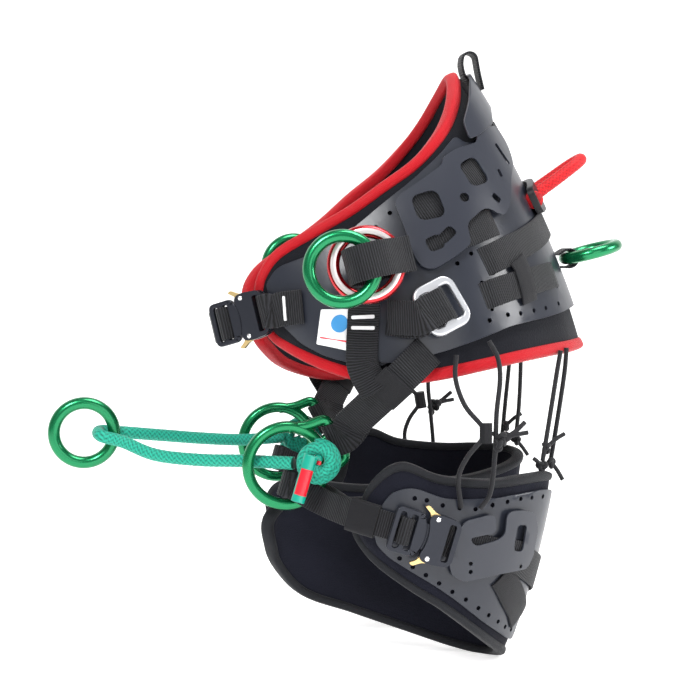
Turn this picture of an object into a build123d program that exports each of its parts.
from build123d import *
import math
import os

# Tree climbing saddle, worn shape. Millimetres. +X is the wearer's back, -Y the wearer's left,
# +Z up, and the origin is the middle of the waist opening.

# Belt rails, from the back centre line round to the left front end.
BELT_BOTTOM = [(188, 0, -93), (166, -54, -93), (132, -92, -95), (93, -121, -99), (50, -137, -106),
               (5, -141, -114), (-40, -135, -118), (-80, -119, -111), (-113, -92, -98), (-139, -60, -82)]
BELT_TOP = [(57, 0, 173), (50, -40, 152), (37, -66, 126), (20, -82, 104), (-4, -91, 80),
            (-34, -93, 59), (-66, -90, 36), (-100, -82, 16), (-134, -70, -6), (-150, -60, -34)]
BELT_BULGE = [10, 10, 10, 10, 10, 9, 8, 6, 4, 2]
RIGHT_DROP = [0, 0, 0, 0, 4, 10, 15, 17, 17, 10]
RIGHT_TOP_DROP = [0, 0, 0, 0, 1, 4, 9, 13, 14, 8]

# Left leg pad rails, from the outer front end round the back of the thigh to the inner front end.
LEG_BOTTOM = [(-69, -128, -263), (-52, -142, -285), (-20, -150, -309), (13, -150, -330), (47, -138, -356),
              (71, -118, -375), (85, -95, -387), (79, -65, -394), (43, -45, -387), (-6, -38, -370),
              (-57, -38, -351), (-108, -48, -330), (-137, -62, -297), (-146, -74, -271)]
LEG_TOP = [(-65, -128, -246), (-55, -142, -217), (-29, -150, -198), (7, -152, -211), (57, -148, -217),
           (99, -130, -216), (129, -100, -218), (123, -66, -226), (73, -45, -238), (14, -36, -242),
           (-46, -36, -246), (-98, -48, -242), (-129, -62, -241), (-142, -74, -248)]
LEG_BULGE = 4

PAD = 10            # foam and mesh thickness
BEAD = 5.5          # radius of the rolled edge binding
WEB = 2.2           # webbing thickness
STRAP = 33          # webbing width
ROPE = 6            # bridge rope radius
BUNGEE = 2.25       # elastic cord radius
RING_R = 30         # side ring centre line radius
RING_SECTION = 6    # side ring section radius
RING_BORE = 24.4    # side ring's turned inner land
LOWER_R = 36.5      # lower bridge ring centre line radius
LOWER_SECTION = 5.5
SLOT_REACH = 53     # lower ring centre to its webbing bar
RIGHT_RING_SHIFT = 16
RIGHT_LEG_SHIFT = 22    # right leg loop sits further back


def curve(points, t):
    """Point at station t on a smooth line through evenly numbered points."""
    last = len(points) - 1
    t = min(max(t, 0.0), float(last))
    i = min(int(t), last - 1)
    f = t - i
    a, b = points[i], points[i + 1]
    before = points[i - 1] if i > 0 else None
    after = points[i + 2] if i + 2 <= last else None
    out = []
    for k in range(len(a)):
        start = (b[k] - before[k]) / 2 if before else b[k] - a[k]
        end = (after[k] - a[k]) / 2 if after else b[k] - a[k]
        out.append((2 * f**3 - 3 * f**2 + 1) * a[k] + (f**3 - 2 * f**2 + f) * start
                   + (3 * f**2 - 2 * f**3) * b[k] + (f**3 - f**2) * end)
    return out


def whole_rail(half, drop):
    """Both halves of a belt rail, left front end first."""
    left = list(reversed(half))
    right = [(x, -y, z - d) for (x, y, z), d in zip(half[1:], drop[1:])]
    return left + right


BOTTOM = whole_rail(BELT_BOTTOM, RIGHT_DROP)
TOP = whole_rail(BELT_TOP, RIGHT_TOP_DROP)


def shell(bottom, top, bulge, t, v, d):
    """Point and outward direction on a skin between two rails, d millimetres outside it."""
    def ruled(s):
        return Vector(*curve(bottom, s)) * (1 - v) + Vector(*curve(top, s)) * v
    last = len(bottom) - 1
    along = ruled(min(t + 0.05, last)) - ruled(max(t - 0.05, 0))
    up = Vector(*curve(top, t)) - Vector(*curve(bottom, t))
    out = along.cross(up).normalized()
    return ruled(t) + out * (4 * v * (1 - v) * bulge + d), out


def belt(a, v, d=0):
    """Belt skin: a runs -9 (left end) to 0 (back) to 9 (right end), v from the lower edge to the upper."""
    bulge = curve([(b,) for b in BELT_BULGE], abs(a))[0]
    return shell(BOTTOM, TOP, bulge, a + 9, v, d)


def leg(a, v, d=0):
    """Left leg skin: a runs 0 (outer front) to 6 (back of thigh) to 13 (inner front)."""
    return shell(LEG_BOTTOM, LEG_TOP, LEG_BULGE, a, v, d)


def widths(rows, a):
    """Lower and upper edge of a strip at station a, straight between its rows."""
    for (a0, lo0, hi0), (a1, lo1, hi1) in zip(rows, rows[1:]):
        if a <= a1:
            f = (a - a0) / (a1 - a0)
            return lo0 + (lo1 - lo0) * f, hi0 + (hi1 - hi0) * f
    return rows[-1][1:]


def strip(skin, rows, inner, outer, step=0.5):
    """Solid lying on a skin, between its rows of (station, lower edge, upper edge)."""
    count = max(2, round((rows[-1][0] - rows[0][0]) / step))
    wires = []
    for k in range(count + 1):
        a = rows[0][0] + (rows[-1][0] - rows[0][0]) * k / count
        lo, hi = widths(rows, a)
        heights = [lo + (hi - lo) * j / 4 for j in range(5)]
        middle, out = skin(a, heights[2], inner)
        square = (skin(a, hi, inner)[0] - skin(a, lo, inner)[0]).cross(out).normalized()
        points = [skin(a, v, outer)[0] for v in heights]
        points += [skin(a, v, inner)[0] for v in reversed(heights)]
        points = [p - square * (p - middle).dot(square) for p in points]
        wires.append(Wire([Spline(*points[:5]), Line(points[4], points[5]),
                           Spline(*points[5:]), Line(points[9], points[0])]))
    return Solid.make_loft(wires)


def frame_on(skin, a, v, d, turn=0):
    """Plane lying on a skin: x along it, z outward, turned in its own face."""
    point, out = skin(a, v, d)
    ahead = skin(a + 0.2, v, d)[0] - point
    x = (ahead - out * ahead.dot(out)).normalized()
    return Plane(origin=point, x_dir=x, z_dir=out).rotated((0, 0, turn))


def punch(solid, skin, spots, width, height, turn=0):
    """Cut rounded slots through a plate at (station, height) spots."""
    for a, v in spots:
        where = frame_on(skin, a, v, 0, turn)
        if width == height:
            tool = Cylinder(width / 2, 40)
        else:
            tool = extrude(RectangleRounded(width, height, min(width, height) * 0.3), 20, both=True)
        solid = solid - where * tool
    return solid


def ribbon(points, across, width=STRAP, thick=WEB):
    """Flat strap through points, its width lying along `across` (one direction, or one for each)."""
    points = [Vector(*p) for p in points]
    if not isinstance(across, list):
        across = [across] * len(points)
    wires = []
    for k, p in enumerate(points):
        ahead = points[min(k + 1, len(points) - 1)] - p
        behind = p - points[max(k - 1, 0)]
        if ahead.length > 0:
            ahead = ahead.normalized()
        if behind.length > 0:
            behind = behind.normalized()
        run = (ahead + behind).normalized()
        side = Vector(across[k])
        side = (side - run * side.dot(run)).normalized() * (width / 2)
        face = run.cross(side).normalized() * (thick / 2)
        wires.append(Wire.make_polygon([p + side + face, p - side + face, p - side - face, p + side - face]))
    return Solid.make_loft(wires, ruled=True)


def local(plane, x, y, z):
    return plane.from_local_coords(Vector(x, y, z))


def turn_points(centre, start, end, radius, first, last, count=9):
    """Points on an arc about centre, in the plane of the unit directions start and end."""
    out = []
    for k in range(count):
        angle = math.radians(first + (last - first) * k / (count - 1))
        out.append(centre + start * (radius * math.cos(angle)) + end * (radius * math.sin(angle)))
    return out


def bar_loop(place, x, radius, toward):
    """Points of webbing folded round a bar at x on a plane, both layers leaving toward -x or +x."""
    centre = local(place, x, 0, 0)
    return turn_points(centre, place.z_dir, place.x_dir * -toward, radius, -8, 188, 11)


def cord(points, radius):
    """Round cord through points, every corner eased as far as its runs allow."""
    points = [Vector(*p) for p in points]
    radii = []
    for before, here, after in zip(points, points[1:], points[2:]):
        turn = math.radians((here - before).get_angle(after - here))
        run = min((here - before).length, (after - here).length)
        radii.append(0.45 * run / math.tan(turn / 2))
    line = FilletPolyline(*points, radius=radii)
    print("cord length", round(line.length), "tightest bend", round(min(radii)))
    return sweep(Plane(origin=line @ 0, z_dir=line % 0) * Circle(radius), path=line)


def plain_ring(radius, section, bore):
    """Ring about Z with a short straight land turned on its inside."""
    return Torus(radius, section) - Cylinder(bore, 4 * section)


# ---- belt ----

def belt_pad():
    rows = []
    for a in range(-8, 9):
        edge = 8 / (belt(a, 1)[0] - belt(a, 0)[0]).length
        rows.append((a, edge, 1 - edge))
    rows = [(-8.78, 0.26, 0.74), (-8.5, 0.14, 0.86)] + rows + [(8.5, 0.14, 0.86), (8.78, 0.26, 0.74)]
    return strip(belt, rows, -PAD, 0)


def bead(points, outs, radius):
    """Eight-sided roll through points, each section square to its run."""
    wires = []
    for k, p in enumerate(points):
        run = (points[min(k + 1, len(points) - 1)] - points[max(k - 1, 0)]).normalized()
        out = (outs[k] - run * outs[k].dot(run)).normalized()
        side = run.cross(out)
        corners = []
        for j in range(8):
            angle = math.radians(22.5 + 45 * j)
            corners.append(p + out * (radius * math.cos(angle)) + side * (radius * math.sin(angle)))
        wires.append(Wire.make_polygon(corners))
    return Solid.make_loft(wires, ruled=True)


def belt_binding():
    """Rolled tape round the whole edge, in one run with its butt joint at the left front end."""
    spots = [(-9, 0.47), (-9, 0.8), (-8.85, 0.95)]
    spots += [(a / 2, 1) for a in range(-17, 18)]
    spots += [(8.85, 0.95), (9, 0.8), (9, 0.5), (9, 0.2), (8.85, 0.05)]
    spots += [(a / 2, 0) for a in range(17, -18, -1)]
    spots += [(-8.85, 0.05), (-9, 0.2), (-9, 0.44)]
    line = [belt(a, v, -PAD / 2) for a, v in spots]
    return bead([p for p, out in line], [out for p, out in line], BEAD)


def both_sides(rows, side):
    """Left-hand rows, or the same rows on the wearer's right."""
    if side < 0:
        return rows
    return [(-a, lo, hi) for a, lo, hi in reversed(rows)]


def front_plate(side):
    rows = [(-8.5, 0.3, 0.84), (-8.0, 0.16, 0.86), (-7.0, 0.08, 0.84), (-6.5, 0.07, 0.86), (-6.0, 0.07, 0.88)]
    return strip(belt, both_sides(rows, side), 0.9, 2.5)


def back_plate():
    left = [(-6.1, 0.5, 0.88), (-5.4, 0.1, 0.91), (-4.0, 0.11, 0.93), (-2.3, 0.12, 0.94), (-1.5, 0.12, 0.86)]
    plate = strip(belt, left + [(0, 0.13, 0.84)] + both_sides(left, 1), 3.7, 5.2)
    for sign in (-1, 1):
        low = [(sign * a, v) for a, v in [(3.6, 0.18), (3.15, 0.18), (2.8, 0.17), (2.4, 0.165), (1.95, 0.16),
                                          (1.4, 0.16)]]
        high = [(sign * a, v) for a, v in [(5.45, 0.82), (5.05, 0.85), (3.5, 0.47), (3.95, 0.45)]]
        plate = punch(plate, belt, low + high, 5, 5)
    return plate


def gear_plate(side):
    rows = [(-4.95, 0.62, 0.88), (-4.5, 0.5, 0.89), (-3.5, 0.53, 0.93), (-2.4, 0.57, 0.9), (-1.6, 0.6, 0.87),
            (-0.35, 0.66, 0.84)]
    plate = strip(belt, both_sides(rows, side), 10.6, 12.2, 0.25)
    plate = punch(plate, belt, [(side * 4.15, 0.79)], 20, 24, side * 12)
    plate = punch(plate, belt, [(side * 4.1, 0.59)], 24, 12)
    plate = punch(plate, belt, [(side * 2.4, 0.76)], 16, 30, side * 20)
    plate = punch(plate, belt, [(side * 3.2, 0.71), (side * 2.0, 0.66)], 9, 9)
    return punch(plate, belt, [(side * 1.05, 0.74)], 6, 26, side * 8)


def load_webbing(low, high, start, end):
    return strip(belt, [(start, low, high), (end, low, high)], 6.3, 7.7, 0.25)


def tongue():
    """Stiff tab at the back centre that carries the hang loop."""
    return strip(belt, [(-1.5, 0.86, 0.93), (-0.7, 0.85, 0.985), (0.7, 0.85, 0.985), (1.5, 0.86, 0.93)], 6.6, 8.6, 0.35)


def hang_loop():
    top = Vector(70, 0, 189)
    points = [Vector(77, 0, 167), Vector(63, 0, 184)]
    points += turn_points(top, Vector(-1, 0, 0), Vector(0, 0, 1), 7.5, 0, 180, 7)
    points += [Vector(80, 0, 176), Vector(85, 0, 162)]
    return ribbon(points, (0, 1, 0), 19, 2)


# ---- side rings and their webbing ----

def ring_frame(side):
    """Origin where the outer ring hangs: x toward the sewn root, y along the webbing's width, z outward."""
    left = Plane(origin=(-51, -137, -13), x_dir=(0.96, -0.12, 0.25), z_dir=(-0.19, -0.975, 0.12))
    if side < 0:
        return left
    return Plane(origin=(-51, 141, -13), x_dir=(0.96, 0.12, 0.25), z_dir=(-0.19, 0.975, 0.12))


def ring_webbing(side):
    """Pocket both rings hang in: inner leg on the belt, fold at the front, outer leg back to the root."""
    base = ring_frame(side)
    points = [local(base, 40, 0, 5.6), local(base, 30, 0, 4.6), local(base, -10, 0, 3.6)]
    centre = local(base, -10, 0, 21)
    points += turn_points(centre, -base.z_dir, -base.x_dir, 16.6, 12, 168, 9)
    points += [local(base, -10, 0, 37.6), local(base, 11, 0, 37.6), local(base, 14, 0, 36)]
    points += [local(base, 40, 0, 9.5), local(base, 52, 0, 8.5)]
    return ribbon(points, base.y_dir)


def side_ring(side, along, out):
    base = ring_frame(side)
    place = Plane(origin=local(base, along - RING_R, 0, out), x_dir=base.x_dir, z_dir=base.z_dir)
    return place * plain_ring(RING_R, RING_SECTION, RING_BORE)


# ---- risers, adjusters and lower rings ----

def lower_centre(side):
    if side < 0:
        return Vector(-127, -95, -202)
    return Vector(-127 + RIGHT_RING_SHIFT, 95, -202)


def lower_frame(side):
    """Origin at the lower ring's centre, x toward its webbing bar, z along the wearer's left-right axis."""
    angle = math.radians(28)
    return Plane(origin=lower_centre(side), x_dir=(math.cos(angle), 0, math.sin(angle)), z_dir=(0, -1, 0))


def lower_ring(side):
    """Forged ring with a straight bar beyond it, so webbing has its own slot."""
    place = lower_frame(side)
    handle = FilletPolyline((18, 30), (34, 24), (SLOT_REACH, 21.5), (SLOT_REACH, -21.5), (34, -24), (18, -30), radius=5.5)
    bar = sweep(Plane(origin=handle @ 0, z_dir=handle % 0) * Circle(5.2), path=handle)
    return place * (plain_ring(LOWER_R, LOWER_SECTION, LOWER_R - LOWER_SECTION + 0.4) + bar)


def riser(side):
    """Webbing from the belt, through the lower ring's slot and back on itself."""
    ring = lower_frame(side)
    bar = local(ring, SLOT_REACH, 0, 0)
    out = Vector(0, side, 0)
    root = belt(side * 5.05, 0.105, 7.2)[0]
    edge = belt(side * 5.7, -0.01, 12.5)[0]
    whole = edge - bar
    level = Vector(-whole.Z, 0, whole.X).normalized()
    run = (whole - ring.y_dir * whole.dot(ring.y_dir)).normalized()
    lift = (out - run * out.dot(run)).normalized()
    loop = turn_points(bar, -lift, -run, 7.2, -20, 190, 12)
    points = [bar + whole * 0.3 - lift * 3.6, bar + run * 13 - lift * 5.6] + loop
    points += [bar + run * 13 + lift * 4.6, bar + whole * 0.32 + lift * 0.4, edge, root]
    return ribbon(points, [level] + [ring.y_dir] * 14 + [level] * 3, 32)


def adjuster_frame(side):
    """Origin at the middle bar: x along the strap toward the back, y along the bars, z outward."""
    point, out = belt(side * 4.62, 0.3, 16)
    x = Vector(0.88, 0, 0.47)
    x = (x - out * x.dot(out)).normalized()
    return Plane(origin=point, x_dir=x, z_dir=out)


def adjuster(side):
    """Three-bar frame for the hip adjustment."""
    body = extrude(RectangleRounded(42, 48, 10), 3.5, both=True)
    for x in (-10, 10):
        body -= Pos(x, 0, 0) * extrude(RectangleRounded(12, 35, 3), 5, both=True)
    return adjuster_frame(side) * body


def adjuster_strap(side):
    """Webbing folded round the adjuster's middle bar, its two legs sewn together behind."""
    base = adjuster_frame(side)
    radius = 6.6 + WEB / 2
    end = belt(side * 5.7, 0.32, 9.2)[0]
    points = [end + base.z_dir * 2.6, local(base, -26, 0, radius)]
    points += bar_loop(base, 0, radius, -1)
    points += [local(base, -26, 0, -radius), end]
    return ribbon(points, base.y_dir, 32)


# ---- two-lever buckles ----

def waist_buckle_frame():
    return Plane(origin=(-167, -58, -66), x_dir=(0.771, -0.578, 0.266), z_dir=(-0.6, -0.8, 0))


def leg_buckle_frame(side):
    if side < 0:
        return Plane(origin=(-13, -169, -259), x_dir=(0.955, -0.06, -0.29), z_dir=(-0.06, -0.998, 0.02))
    return Plane(origin=(-13 + RIGHT_LEG_SHIFT, 169, -259), x_dir=(0.955, 0.06, -0.29), z_dir=(-0.06, 0.998, 0.02))


def buckle_socket(place):
    """Half with the levers: two cheeks, two rivets and a webbing slot with its end bar."""
    body = extrude(RectangleRounded(32, 46, 4), 5, both=True)
    body = Pos(16, 0, 0) * body
    body -= Pos(6.5, 0, 0) * Box(17, 60, 4.8)
    body -= Pos(9.5, 0, 0) * Box(21, 27, 4.8)
    body -= Pos(24.3, 0, 0) * extrude(RectangleRounded(6.4, 35, 2), 10, both=True)
    for z in (-5, 5):
        body -= Pos(30, 0, z) * Box(6, 35, 4)
    for y in (-18.5, 18.5):
        body += Pos(9, y, 0) * Cylinder(2, 11)
    return place * body


def buckle_tab(place):
    """Half that pulls out: webbing frame, middle bar and tongue."""
    body = extrude(RectangleRounded(28.4, 42, 6), 2.4, both=True)
    for x in (-5.3, 5.3):
        body -= Pos(x - 1, 0, 0) * extrude(RectangleRounded(4.6, 34, 1.5), 8, both=True)
    body = Pos(-15.8, 0, 0) * body
    body += Pos(8, 0, 0) * Box(20, 24, 3.6)
    return place * body


def buckle_lever(place, up):
    outline = Polyline((13, 15), (13, 22), (5, 24), (-2, 28.5), (-5.5, 26.5), (0.6, 22.4), (4, 15.5), close=True)
    lever = extrude(make_face(outline), 2, both=True)
    lever -= Pos(9, 18.5, 0) * Cylinder(2.15, 10)
    if up < 0:
        lever = mirror(lever, about=Plane.XZ)
    return place * lever


def waist_strap_left():
    """Webbing folded round the socket's end bar and sewn to the belt."""
    base = waist_buckle_frame()
    points = [local(base, 33, 0, -5.4)] + list(reversed(bar_loop(base, 29.7, 5.2, 1)))
    points += [local(base, 36, 0, 5.4), belt(-8.3, 0.45, 9)[0], belt(-8.0, 0.46, 8)[0], belt(-7.5, 0.46, 6.5)[0]]
    return ribbon(points, base.y_dir, 32)


def bar_wrap(place):
    """Webbing's tail, its turn over a tab's middle bar, and its way out under the outer bar."""
    points = [local(place, -27, 0, -7.8), local(place, -20, 0, -7.6), local(place, -14.6, 0, -6)]
    points += turn_points(local(place, -16.8, 0, 0), place.x_dir, place.z_dir, 5.2, -30, 215, 11)
    return points + [local(place, -24.5, 0, -4.7), local(place, -30, 0, -4.8)]


def waist_strap_right():
    """Webbing from the tab, round the front to the belt's right end."""
    base = waist_buckle_frame()
    points = bar_wrap(base) + [(-188, -16, -76), (-185, 6, -77), (-178, 30, -76), (-169, 50, -76)]
    points += [belt(8.7, 0.45, 12)[0], belt(8.2, 0.45, 11)[0], belt(7.9, 0.46, 10)[0], belt(7.5, 0.46, 9)[0]]
    return ribbon(points, base.y_dir, 31)


# ---- rope bridge ----

FRONT_RING = (-313, 0, -178)
BIGHT = FRONT_RING[0] + 29 - 12.6

BRIDGE = [(-122, -105, -198.5), (-165, -77, -199), (-205, -55, -200), (-246, -32, -197), (-276, -14, -186),
          (BIGHT, -12.6, -180), (BIGHT, 12.6, -178), (-272, 13.5, -180), (-232, 33, -186),
          (-190, 52, -192), (-149, 77, -197), (-106, 105, -198.5)]


def bridge_knot(side):
    """Coiled stopper with a heat-shrunk tail, outside the lower ring."""
    x = -99 if side < 0 else -99 + RIGHT_RING_SHIFT
    y = 110 * side
    coil = Plane(origin=(x, y, -197), z_dir=(0, 1, 0)) * Torus(15.5, ROPE)
    core = Plane(origin=(x, y, -197), z_dir=(0, 1, 0)) * Cylinder(10.2, 8)
    tail = Plane(origin=(x - 16, y + 15.5 * side, -212), z_dir=(-0.28, 0, -0.96)) * Cylinder(6.5, 44)
    return coil + core, tail


# ---- rear gear loops ----

def rear_anchor():
    """Keeper across the back that both ends of the rope loop leave from."""
    return strip(belt, [(-0.8, 0.475, 0.575), (0.8, 0.475, 0.575)], 8.3, 15.3, 0.2)


REAR_LOOP = [(144, -16, 61), (157, -15.5, 70), (180, -10.5, 86.5), (188, 0, 92), (180, 10.5, 86.5),
             (157, 15.5, 70), (144, 16, 61)]


def rear_ring_webbing():
    """Webbing folded round the rear ring."""
    centre = Vector(174.5, 0, -8.5)
    out = Vector(0.966, 0, 0.259)
    up = Vector(-0.259, 0, 0.966)
    points = [centre + up * 6.5 - out * 10] + turn_points(centre, up, out, 9.2, -20, 200, 12)
    points += [centre - up * 6.5 - out * 10]
    return ribbon(points, (0, 1, 0), 22)


def rear_ring():
    place = Plane(origin=(199.5, 0, -1.8), x_dir=(0.966, 0, 0.259), z_dir=(-0.259, 0, 0.966))
    return place * plain_ring(27, RING_SECTION, 21.4)


# ---- leg loop (left; the right one mirrors it) ----

def leg_pad():
    rows = []
    for a in range(0, 14):
        edge = 5 / (leg(a, 1)[0] - leg(a, 0)[0]).length
        rows.append((a, edge, 1 - edge))
    return strip(leg, rows, -PAD, 0)


def leg_plate():
    rows = [(1.15, 0.25, 0.5), (1.45, 0.12, 0.72), (2.0, 0.1, 0.82), (2.6, 0.1, 0.87), (3.8, 0.08, 0.9),
            (5.0, 0.06, 0.92), (5.9, 0.06, 0.92)]
    plate = strip(leg, rows, 1.9, 3.4)
    low = [(1.75, 0.2), (2.1, 0.18), (2.45, 0.17), (2.8, 0.17), (3.15, 0.16), (3.5, 0.16), (3.85, 0.15),
           (4.2, 0.14), (4.6, 0.13), (5.0, 0.12)]
    high = [(2.5, 0.74), (2.9, 0.77), (3.35, 0.8), (3.66, 0.82), (4.0, 0.84), (4.35, 0.86), (4.7, 0.87),
            (5.05, 0.88)]
    return punch(plate, leg, low + high, 4.6, 4.6)


def leg_webbing():
    """Webbing across the back of the thigh, ending at the buckle socket's slot."""
    rows = [(3.1, 0.42, 0.66), (4.0, 0.4, 0.66), (5.0, 0.34, 0.62), (6.0, 0.3, 0.6), (8.0, 0.3, 0.56),
            (10.0, 0.36, 0.7), (11.0, 0.36, 0.76)]
    return strip(leg, rows, 4.4, 6.2)


def leg_gear_plate():
    rows = [(3.1, 0.32, 0.56), (3.4, 0.3, 0.72), (3.9, 0.36, 0.8), (4.6, 0.4, 0.82), (5.2, 0.44, 0.8),
            (5.5, 0.52, 0.7)]
    plate = strip(leg, rows, 7.6, 9.4, 0.25)
    plate = punch(plate, leg, [(4.05, 0.72)], 9, 18)
    plate = punch(plate, leg, [(4.85, 0.64)], 13, 27)
    return punch(plate, leg, [(3.55, 0.42), (3.5, 0.36), (4.85, 0.47)], 4, 4)


def leg_strap(side):
    """Webbing folded round the lower ring's lower arc, its two layers sewn together, then on to the buckle tab."""
    base = leg_buckle_frame(side)
    centre = lower_centre(side)
    out = Vector(0, side, 0)
    run = Vector(0.96, 0, -0.28)
    fold = turn_points(centre + Vector(3, 0, -17.4), -out, -run, 8.4, -10, 190, 11)
    meet = centre + Vector(58 if side < 0 else 63, 50 * side, -41)
    points = [meet - out * 3 - run * 5, centre + Vector(38, -7 * side, -32)] + fold
    points += [centre + Vector(31, 11 * side, -33), centre + Vector(45, 31 * side, -38), meet] + bar_wrap(base)[::-1]
    level = Vector(0.28, 0, 0.96)
    upward = base.y_dir * -side
    return ribbon(points, [level] * 15 + [upward] * 17, 24)


# ---- elastic risers ----

BUNGEE_A = [(22, -152, -96), (21, -153, -118), (29, -156, -142), (43, -163, -160)]
BUNGEE_A_LOW = [(43, -163, -174), (30, -163, -189), (22, -162, -208), (25, -160, -236)]
BUNGEE_B = [(54, -147, -84), (62, -149, -100), (63, -153, -120), (58, -160, -150), (56, -163, -186),
            (52, -162, -222), (43, -160, -237)]
BUNGEE_BACK = [(140, -92, -97), (137, -90, -118), (127, -98, -165), (119, -104, -202)]
BUNGEE_BACK_2 = [(149, -82, -95), (147, -82, -120), (139, -86, -165), (131, -92, -202)]


def riser_point(point, side):
    """A left-hand point of the elastic risers, or its match on the right, where the leg sits further back."""
    x, y, z = point
    if side < 0:
        return Vector(x, y, z)
    return Vector(x + RIGHT_LEG_SHIFT * min(max((-100 - z) / 130, 0), 1), -y, z)


def bungees(side):
    """Two elastic loops from the belt's lower edge to the top of the leg pad, with their knots."""
    cords = [cord([riser_point(p, side) for p in line], BUNGEE)
             for line in (BUNGEE_A, BUNGEE_A_LOW, BUNGEE_B, BUNGEE_BACK, BUNGEE_BACK_2)]
    tie = Plane(origin=riser_point((47, -163.5, -167), side), x_dir=(0, 1, 0)) * Box(7, 8, 12)
    knots = [Pos(*riser_point(p, side)) * Sphere(4) for p in ((118, -105, -207), (130, -93, -207))]
    return cords + [tie] + knots


def save(name, shape):
    solids = shape if isinstance(shape, list) else [shape]
    flat = [s for item in solids for s in item.solids()]
    export_step(Compound(children=flat, label=name), f"parts/{name}.step")


def main():
    os.makedirs("parts", exist_ok=True)
    save("belt_pad", belt_pad())
    save("belt_binding", belt_binding())
    save("back_plate", back_plate())
    save("load_webbing_upper", load_webbing(0.6, 0.74, -4.6, 4.6))
    save("load_webbing_middle", load_webbing(0.38, 0.5, -3.05, 3.05))
    save("load_webbing_lower", [load_webbing(0.22, 0.35, -3.4, -1.1), load_webbing(0.22, 0.35, 1.1, 3.4)])
    save("tongue", tongue())
    save("hang_loop", hang_loop())
    save("rear_anchor", rear_anchor())
    save("rear_rope_loop", cord(REAR_LOOP, ROPE))
    save("rear_ring_webbing", rear_ring_webbing())
    save("rear_ring", rear_ring())
    save("waist_strap_left", waist_strap_left())
    save("waist_strap_right", waist_strap_right())
    save("waist_buckle_socket", buckle_socket(waist_buckle_frame()))
    save("waist_buckle_tab", buckle_tab(waist_buckle_frame()))
    save("waist_lever_upper", buckle_lever(waist_buckle_frame(), 1))
    save("waist_lever_lower", buckle_lever(waist_buckle_frame(), -1))
    save("bridge_rope", cord(BRIDGE, ROPE))
    front = Plane(origin=FRONT_RING, z_dir=(0, 1, 0))
    save("front_ring", front * plain_ring(29, RING_SECTION, 23.4))
    for side, name in ((-1, "left"), (1, "right")):
        save(f"front_plate_{name}", front_plate(side))
        save(f"gear_plate_{name}", gear_plate(side))
        save(f"ring_webbing_{name}", ring_webbing(side))
        save(f"outer_ring_{name}", side_ring(side, 0, 27.6))
        save(f"inner_ring_{name}", side_ring(side, 22, 11.6))
        save(f"riser_{name}", riser(side))
        save(f"adjuster_{name}", adjuster(side))
        save(f"adjuster_strap_{name}", adjuster_strap(side))
        save(f"lower_ring_{name}", lower_ring(side))
        save(f"bridge_knot_{name}", list(bridge_knot(side)))
        save(f"leg_strap_{name}", leg_strap(side))
        save(f"leg_buckle_socket_{name}", buckle_socket(leg_buckle_frame(side)))
        save(f"leg_buckle_tab_{name}", buckle_tab(leg_buckle_frame(side)))
        save(f"leg_lever_upper_{name}", buckle_lever(leg_buckle_frame(side), -side))
        save(f"leg_lever_lower_{name}", buckle_lever(leg_buckle_frame(side), side))
        save(f"bungees_{name}", bungees(side))
    for make in (leg_pad, leg_plate, leg_webbing, leg_gear_plate):
        left = make()
        save(f"{make.__name__}_left", left)
        save(f"{make.__name__}_right", Pos(RIGHT_LEG_SHIFT, 0, 0) * mirror(left, about=Plane.XZ))


main()
